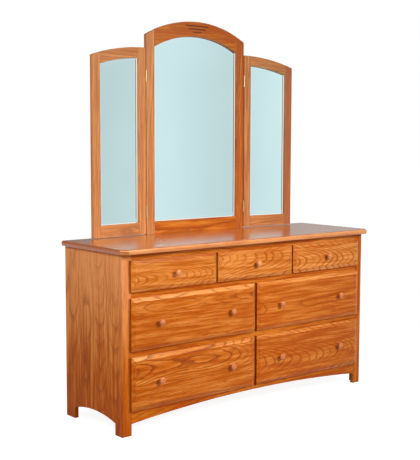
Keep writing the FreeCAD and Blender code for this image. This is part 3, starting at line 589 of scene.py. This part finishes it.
def silvered(name, facing, left, right):
    """Bevelled mirror glass. facing is the direction that the flat field faces.

    left and right are the strengths of the tint at the two ends, a painted reflection that brightens or dims
    across the glass. The outermost strip of the bevel, next to the frame, leans another way and has a painted
    glint, a pale colour. The rest of the lower bevel shows what the flat field shows.
    """
    finish = bpy.context.scene.dresser_finish
    low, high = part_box(f"{name}_glass")
    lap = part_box("mirror_glass")[1].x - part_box("mirror_bottom_rail")[1].x
    made, tree = material(f"{name} glass")
    coordinates = tree.add("TexCoord").outputs
    turned = tree.add("VectorMath", operation="DOT_PRODUCT")
    tree.feed(turned.inputs[0], coordinates["Normal"])
    turned.inputs[1].default_value = facing
    # The bevels don't face quite the way that the flat field does, and take a slightly paler tint, a painted
    # highlight
    border = tree.span(turned.outputs["Value"], 0.9996, 0.9990)
    # Painted reflection: the tint varies softly, and grows or fades from left to right
    painted_reflection_cloud = tree.cloud(coordinates["Object"], (1.3, 1.3, 1.6))
    x, y, z = tree.split(coordinates["Object"])
    along = tree.span(x, low.x, high.x, left, right)
    beside = tree.math("GREATER_THAN", x, high.x - lap - EDGE_STRIP)
    beneath = tree.math("LESS_THAN", z, low.z + lap + EDGE_STRIP / 2)
    strip = tree.math("MAXIMUM", beside, beneath)
    foot = tree.math("LESS_THAN", z, low.z + lap + GLASS_FOOT)
    lean = tree.vector(tree.sum(facing[0], tree.times(beside, -EDGE_LEAN)), facing[1],
                       tree.times(beneath, EDGE_LEAN))
    lean = tree.add("VectorTransform", vector_type="NORMAL", convert_from="OBJECT", convert_to="WORLD",
                    Vector=lean).outputs[0]
    flat = tree.add("NewGeometry").outputs["Normal"]
    normal = tree.choose(tree.math("MAXIMUM", strip, foot), flat, lean)
    tone = tree.sum(along, tree.span(painted_reflection_cloud, 0.35, 0.65, to_low=-0.02, to_high=0.02))
    toned = tree.add("Mix", data_type="RGBA", blend_type="MULTIPLY", Factor=1.0)
    tree.feed(toned.inputs[6], tree.mix(border, finish.glass, finish.bevel))
    tree.feed(toned.inputs[7], tree.add("CombineColor", Red=tone, Green=tone, Blue=tone).outputs[0])
    # Painted glint: the outermost strip of the glass takes a pale colour
    shade = tree.mix(tree.times(strip, 0.8), toned.outputs[2], finish.painted_edge_glint)
    dust = tree.cloud(coordinates["Object"], (9, 9, 9), detail=4.0)
    rough = tree.span(dust, 0.3, 0.8, to_low=0.015, to_high=0.05, smooth=False)
    finish_surface(tree, Normal=normal, Base_Color=shade, Roughness=rough, Metallic=1.0)
    return made


class DRESSER_OT_mirror(bpy.types.Operator):
    """Finish the mirror frames, the glass, the backings and the battens"""

    bl_idname = "dresser.mirror"
    bl_label = "Mirror"

    def execute(self, context):
        edge = context.scene.dresser_oak.edge
        satin = context.scene.dresser_finish.satin
        tilt = wing_tilt()
        # Node, grain, board width, board start, tone, stain, contrast and turn of each frame member
        # The stain is a painted haze, and on the crown the grooves' stain and painted shade
        frames = [("mirror_stiles", ALONG_Z, 0.30, -0.15, self.right_deeper, self.painted_haze, 1.0, 0.0),
                  ("mirror_bottom_rail", ALONG_X, 0.3, 0.7, 0.50, None, 1.0, 0.0),
                  ("mirror_crown_rail", ALONG_X, 0.3, 1.7, 0.62, self.grooves, 0.6, 0.0)]
        for side, sign in SIDES:
            low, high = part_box(f"{side}_wing_stiles")
            width = high.x - low.x + 2 * MM
            tone = self.right_deeper if side == "right" else 0.0
            turn = -sign * tilt
            frames += [(f"{side}_wing_stiles", ALONG_Z, width, low.x - MM, tone, self.painted_haze, 1.0, turn),
                       (f"{side}_wing_rails", ALONG_X, 0.5, 0.5, 0.1, self.painted_haze, 1.0, turn)]
        for number, (node, axes, board, start, warm, stain, contrast, turn) in enumerate(frames):
            made = wood(f"{node} oak", axes, 131 + number, board=board, start=start, roughness=satin,
                        coat=0.02, wander=0.35, gloss=0.4, warm=warm, stain=stain, turn=turn,
                        contrast=contrast)
            dress(node, made, edge)
        # Each glass: its name, its swing, and the painted reflection's strength at its left and right ends
        for name, swing, left, right in (("mirror", 0.0, 1.06, 0.90), ("left_wing", tilt, 0.86, 0.90),
                                         ("right_wing", -tilt, 0.98, 1.06)):
            facing = (math.sin(swing), -math.cos(swing), 0)
            dress(f"{name}_glass", silvered(name, facing, left, right))
            backing = wood(f"{name} backing board", ALONG_Z, 151, board=1.2, start=-0.6, roughness=0.6,
                           bare=True, wander=1.5, contrast=0.5)
            dress(f"{name}_backing", backing)
        dress("mirror_battens", wood("Batten wood", ALONG_Z, 152, board=0.4, start=-0.4, roughness=0.55,
                                     bare=True, contrast=0.8), edge)
        return {"FINISHED"}

    def centre_right(self, tree, x):
        """1 on the right half of the centre panel."""
        return tree.times(tree.math("GREATER_THAN", x, 0.0), tree.math("LESS_THAN", x, PANEL_SEAM))

    def right_deeper(self, tree, spot):
        """The right-hand stiles of the centre panel and the right wing are from deeper boards."""
        x = tree.split(spot)[0]
        outer = tree.math("GREATER_THAN", x, WING_MIDDLE)
        return tree.sum(tree.times(self.centre_right(tree, x), 0.6), tree.times(outer, 0.7))

    def painted_haze(self, tree, spot):
        """Painted haze of reflection: all but the right-hand stile of the centre panel is a greyer brown."""
        kept = tree.times(self.centre_right(tree, tree.split(spot)[0]), 0.23)
        return tree.math("SUBTRACT", 0.28, kept), bpy.context.scene.dresser_oak.painted_haze_tint

    def grooves(self, tree, spot):
        """The carved grooves are darker: stain that lies in them, and painted shade in the recess."""
        low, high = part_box("mirror_crown_rail")
        x, y, z = tree.split(spot)
        inside = tree.math("LESS_THAN", tree.math("ABSOLUTE", x), GROOVE_REACH)
        behind = tree.math("GREATER_THAN", y, low.y + GROOVE_DEPTH[0])
        ahead = tree.math("LESS_THAN", y, low.y + GROOVE_DEPTH[1])
        under = tree.math("LESS_THAN", z, high.z - GROOVE_DROP[0])
        over = tree.math("GREATER_THAN", z, high.z - GROOVE_DROP[1])
        return tree.times(inside, behind, ahead, under, over, 0.92), bpy.context.scene.dresser_oak.pore


# Fixings

def brass_finish():
    """The worn brass of hinges, screws, nails and clips, made once."""
    known = bpy.data.materials.get("Brass")
    if known:
        return known
    finish = bpy.context.scene.dresser_finish
    tint, rough = tuple(finish.brass), finish.brass_roughness
    tarnish = tuple(channel * 0.72 for channel in tint)
    made, tree = material("Brass")
    spot = tree.add("TexCoord").outputs["Object"]
    cloud = tree.cloud(spot, (160, 160, 60), detail=3.0)
    worn = tree.mix(tree.span(cloud, 0.35, 0.75), tint, tarnish)
    scratch = tree.cloud(spot, (2600, 2600, 90), detail=1.0)
    bump = tree.add("Bump", Strength=0.15, Distance=0.02 * MM, Height=scratch)
    finish_surface(tree, Normal=bump.outputs[0], Base_Color=worn, Metallic=1.0,
                   Roughness=tree.span(cloud, 0.3, 0.8, rough, rough + 0.14, smooth=False))
    return made


def wing_directions(sign, tilt):
    """Along a wing from its hinge, and to its back."""
    return (Vector((math.cos(tilt) * sign, -math.sin(tilt), 0)),
            Vector((math.sin(tilt) * sign, math.cos(tilt), 0)))


def frustum(shape, outline, base, up, taper=1.0):
    """Add a closed block to the mesh: it stands on base, and its upper end is that much narrower."""
    low = [shape.verts.new(base + corner) for corner in outline]
    high = [shape.verts.new(base + corner * taper + up) for corner in outline]
    shape.faces.new(low[::-1])
    shape.faces.new(high)
    for index, corner in enumerate(low):
        after = (index + 1) % len(low)
        shape.faces.new((corner, low[after], high[after], high[index]))


def round_outline(radius, across, along, start=0.0, end=math.tau, steps=16):
    """Corners on an arc in the plane of the two directions. A full turn doesn't repeat its first corner."""
    gaps = steps if math.isclose(end - start, math.tau) else steps - 1
    turns = [start + (end - start) * step / gaps for step in range(steps)]
    return [(across * math.cos(turn) + along * math.sin(turn)) * radius for turn in turns]


def screw_head(shape, place, out, along, radius, proud):
    """A slotted head: a thin disc carries two half rounds with the slot between them."""
    across = along.cross(out)
    disc = out * proud * 0.2
    frustum(shape, round_outline(radius, across, along), place, disc)
    # The slot takes 0.12 of the head's width
    half_slot = math.asin(0.12)
    for side in (0.0, math.pi):
        half = round_outline(radius, across, along, side + half_slot, side + math.pi - half_slot, 10)
        frustum(shape, half, place + disc, out * proud - disc, taper=0.9)


def brass_fixing(name, shape, body):
    """One piece of the finished mesh, riding on a body."""
    bmesh.ops.recalc_face_normals(shape, faces=shape.faces)
    mesh = bpy.data.meshes.new(name)
    shape.to_mesh(mesh)
    shape.free()
    mesh.materials.append(brass_finish())
    made = bpy.data.objects.new(name, mesh)
    bpy.context.scene.collection.objects.link(made)
    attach(made, body)


class DRESSER_OT_hinges(bpy.types.Operator):
    """Finish the brass butt hinges and put in their screws"""

    bl_idname = "dresser.hinges"
    bl_label = "Hinges"

    def execute(self, context):
        for node in ("centre_hinge_leaves", "left_wing_hinge_leaves", "right_wing_hinge_leaves"):
            dress(node, brass_finish())
        fixed = bmesh.new()
        for side, sign in SIDES:
            swung = bmesh.new()
            for place in self.places():
                self.screw(fixed, place, sign, 0.0, -0.3 * MM)
                self.screw(swung, place, sign, wing_tilt(), 0.3 * MM)
            brass_fixing(f"{side}_wing_hinge_screws", swung, f"{side}_wing")
        brass_fixing("centre_hinge_screws", fixed, "case")
        return {"FINISHED"}

    def places(self):
        """Where the screws are: the pin's distance and depth, how far the screw is behind it, its height."""
        low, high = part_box("centre_hinge_leaves")
        barrel, half_depth, half_length, spacing = 3.25 * MM, 7.5 * MM, 30 * MM, 21 * MM
        pin_x, pin_y = high.x - barrel, low.y + barrel
        behind = high.y - half_depth - pin_y
        for middle in (high.z - half_length, low.z + half_length):
            for step, shift in ((-1, -2 * MM), (0, 2.5 * MM), (1, -2 * MM)):
                yield pin_x, pin_y, behind + shift, middle + step * spacing

    def screw(self, shape, place, sign, tilt, face):
        """A screw whose head faces the other leaf. face is where the leaf's surface is, from the pin."""
        pin_x, pin_y, behind, z = place
        along, back = wing_directions(sign, tilt)
        spot = Vector((pin_x * sign, pin_y, z)) + along * face + back * behind
        out = along if face < 0 else -along
        # Each slot is turned another way
        turn = z * 70 + behind * 900
        slot = UP * math.cos(turn) + back * math.sin(turn)
        screw_head(shape, spot, out, slot, radius=2.6 * MM, proud=0.14 * MM)


class DRESSER_OT_back_fixings(bpy.types.Operator):
    """Nail the back panel on, and hold the mirror backings with clips"""

    bl_idname = "dresser.back_fixings"
    bl_label = "Nails and clips"

    def execute(self, context):
        self.nails()
        self.clips()
        return {"FINISHED"}

    def nails(self):
        """Round nail heads along the four edges of the back panel."""
        low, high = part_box("back_panel")
        left, right = low.x + 5 * MM, high.x - 5 * MM
        lowest, highest = low.z + 20 * MM, high.z - 20 * MM
        spots = []
        for step in range(9):
            z = lowest + (highest - lowest) * step / 8
            spots += [(left, z), (right, z)]
        leftmost, rightmost = low.x + 50 * MM, high.x - 50 * MM
        for step in range(17):
            x = leftmost + (rightmost - leftmost) * step / 16
            spots += [(x, low.z + 12 * MM), (x, high.z - 12 * MM)]
        head = round_outline(2.2 * MM, UP, RIGHT, steps=12)
        shape = bmesh.new()
        for x, z in spots:
            frustum(shape, head, Vector((x, high.y, z)), BACK * 0.3 * MM, taper=0.75)
        brass_fixing("back_panel_nails", shape, "case")

    def clips(self):
        """Flat clips over the edges of each backing board, each held by one screw in the frame."""
        low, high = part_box("mirror_backing")
        shape = bmesh.new()
        for sign in (-1, 1):
            for rise in (0.12, 0.44, 0.76):
                self.clip(shape, Vector((sign * high.x, high.y, low.z + rise)), RIGHT * sign, BACK)
        brass_fixing("mirror_clips", shape, "case")
        tilt = wing_tilt()
        low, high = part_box("right_wing_backing")
        lean = BACKING * math.sin(tilt)
        width = (high.x - low.x - lean) / math.cos(tilt)
        for side, sign in SIDES:
            along, back = wing_directions(sign, tilt)
            shape = bmesh.new()
            for rise in (0.10, 0.40, 0.70):
                inner = Vector(((low.x + lean) * sign, high.y, low.z + rise))
                self.clip(shape, inner, -along, back)
                self.clip(shape, inner + along * width, along, back)
            brass_fixing(f"{side}_wing_clips", shape, f"{side}_wing")

    def clip(self, shape, edge, outward, back):
        """A rounded strip that lies across the edge, with its screw on the frame's side."""
        radius, on_frame, on_board, thickness = 5 * MM, 7 * MM, 5 * MM, 0.9 * MM
        strip = [corner + outward * on_frame for corner in round_outline(radius, UP, outward, 0, math.pi, 8)]
        strip += [corner - outward * on_board
                  for corner in round_outline(radius, UP, outward, math.pi, math.tau, 8)]
        frustum(shape, strip, edge, back * thickness, taper=0.97)
        slot = UP * 0.8 + outward * 0.6
        screw_head(shape, edge + outward * on_frame + back * thickness, back, slot, radius=3 * MM,
                   proud=0.8 * MM)


# Stage

class DRESSER_OT_stage(bpy.types.Operator):
    """Put up the floor, the lights, the surround and the camera"""

    bl_idname = "dresser.stage"
    bl_label = "Stage"

    def execute(self, context):
        studio = context.scene.dresser_studio
        self.floor(studio)
        self.surround(studio)
        self.lamp("Key", studio.key, stand=(1.3, -3.9, 2.5), aim=(-0.35, -0.2, 0.45), width=1.2, spread=64)
        self.lamp("Fill", studio.fill, stand=(-2.4, -0.9, 2.0), aim=(-0.8, 0, 0.7), width=0.8)
        self.camera(context, studio)
        context.scene.view_settings.view_transform = "Standard"
        return {"FINISHED"}

    def shown(self, tree):
        """1 for rays that look straight, or by way of gloss and glass."""
        path = tree.add("LightPath").outputs
        return tree.math("MAXIMUM", path["Is Camera Ray"],
                         tree.math("MAXIMUM", path["Is Glossy Ray"], path["Is Transmission Ray"]))

    def floor(self, studio):
        """Seen straight, the floor is partly lit by itself, so it is white and still keeps the shadow."""
        mesh = bpy.data.meshes.new("studio_floor")
        reach = 30.0
        corners = [(-reach, -reach, 0), (reach, -reach, 0), (reach, reach, 0), (-reach, reach, 0)]
        mesh.from_pydata(corners, [], [(0, 1, 2, 3)])
        floor = bpy.data.objects.new("studio_floor", mesh)
        bpy.context.scene.collection.objects.link(floor)
        floor.location.z = -0.2 * MM
        made, tree = material("Studio floor")
        spot = tree.add("TexCoord").outputs["Object"]
        speck = tree.span(tree.cloud(spot, (2, 2, 2), detail=4.0), 0.3, 0.7, to_low=0.99, to_high=1.01)
        straight = tree.add("LightPath").outputs["Is Camera Ray"]
        shadowed = tree.times(straight, 0.3)
        pale = tree.add("BsdfDiffuse", Color=tree.mix(straight, studio.floor, (0.93, 0.93, 0.93)))
        lit = tree.add("Emission", Color=(1, 1, 1, 1), Strength=tree.sum(speck, shadowed))
        blend = tree.add("MixShader")
        tree.feed(blend.inputs[0], tree.math("SUBTRACT", self.shown(tree), shadowed))
        tree.feed(blend.inputs[1], pale.outputs[0])
        tree.feed(blend.inputs[2], lit.outputs[0])
        out = tree.add("OutputMaterial")
        tree.feed(out.inputs["Surface"], blend.outputs[0])
        mesh.materials.append(made)

    def surround(self, studio):
        """White to look at. Gloss shows a plain wall behind the dresser, paler on the far right."""
        world = bpy.data.worlds.new("Studio")
        world.use_nodes = True
        bpy.context.scene.world = world
        world.node_tree.nodes.clear()
        tree = Tree(world.node_tree)
        shown = self.shown(tree)
        straight = tree.add("LightPath").outputs["Is Camera Ray"]
        across, ahead, up = tree.split(tree.add("TexCoord").outputs["Generated"])
        behind = tree.times(tree.span(ahead, -0.55, 0.0), tree.math("SUBTRACT", 1.0, straight))
        wall = tree.mix(tree.span(across, 0.75, 0.5, to_low=0.0, to_high=0.5), studio.backdrop, (0, 0, 0))
        lit = tree.mix(behind, (1, 1, 1), wall)
        shade = tree.mix(shown, tuple(studio.sky for channel in "rgb"), lit)
        background = tree.add("Background", Color=shade, Strength=1.0)
        out = tree.add("OutputWorld")
        tree.feed(out.inputs["Surface"], background.outputs[0])

    def lamp(self, name, power, stand, aim, width, spread=180):
        light = bpy.data.lights.new(name, "AREA")
        light.shape = "DISK"
        light.size = width
        light.energy = power
        light.spread = math.radians(spread)
        lamp = bpy.data.objects.new(name, light)
        bpy.context.scene.collection.objects.link(lamp)
        lamp.location = stand
        lamp.rotation_euler = (Vector(aim) - Vector(stand)).to_track_quat("-Z", "Y").to_euler()

    def camera(self, context, studio):
        turn, lift = studio.azimuth, studio.elevation
        right = Vector((math.cos(turn), math.sin(turn), 0))
        back = Vector((math.sin(turn) * math.cos(lift), -math.cos(turn) * math.cos(lift), math.sin(lift)))
        up = back.cross(right)
        roll_right = right * math.cos(studio.roll) + up * math.sin(studio.roll)
        roll_up = up * math.cos(studio.roll) - right * math.sin(studio.roll)
        camera = bpy.data.objects.new("Camera", bpy.data.cameras.new("Camera"))
        context.scene.collection.objects.link(camera)
        camera.data.lens = studio.lens
        camera.data.sensor_width = 36
        camera.data.clip_end = 60
        camera.matrix_world = Matrix.Translation(Vector(studio.aim) + back * studio.distance) @ Matrix(
            (roll_right, roll_up, back)).transposed().to_4x4()
        context.scene.camera = camera


class DRESSER_PT_panel(bpy.types.Panel):
    """The dresser's steps and settings"""

    bl_idname = "DRESSER_PT_panel"
    bl_label = "Dresser"
    bl_space_type = "VIEW_3D"
    bl_region_type = "UI"
    bl_category = "Dresser"

    def draw(self, context):
        layout = self.layout
        for step in STEPS:
            layout.operator(step.bl_idname)
        for group in SETTINGS:
            settings = getattr(context.scene, group)
            box = layout.box()
            for name in settings.__annotations__:
                box.prop(settings, name)


STEPS = (DRESSER_OT_case, DRESSER_OT_top, DRESSER_OT_drawers, DRESSER_OT_mirror, DRESSER_OT_hinges,
         DRESSER_OT_back_fixings, DRESSER_OT_stage)
SETTINGS = {"dresser_oak": OakSettings, "dresser_finish": FinishSettings, "dresser_studio": StudioSettings}
CLASSES = (*SETTINGS.values(), *STEPS, DRESSER_PT_panel)


def register():
    for each in CLASSES:
        bpy.utils.register_class(each)
    for name, group in SETTINGS.items():
        setattr(bpy.types.Scene, name, PointerProperty(type=group))


def unregister():
    for name in SETTINGS:
        delattr(bpy.types.Scene, name)
    for each in reversed(CLASSES):
        bpy.utils.unregister_class(each)


def main():
    register()
    bpy.ops.dresser.case()
    bpy.ops.dresser.top()
    bpy.ops.dresser.drawers()
    bpy.ops.dresser.mirror()
    bpy.ops.dresser.hinges()
    bpy.ops.dresser.back_fixings()
    bpy.ops.dresser.stage()


if __name__ == "__main__":
    main()
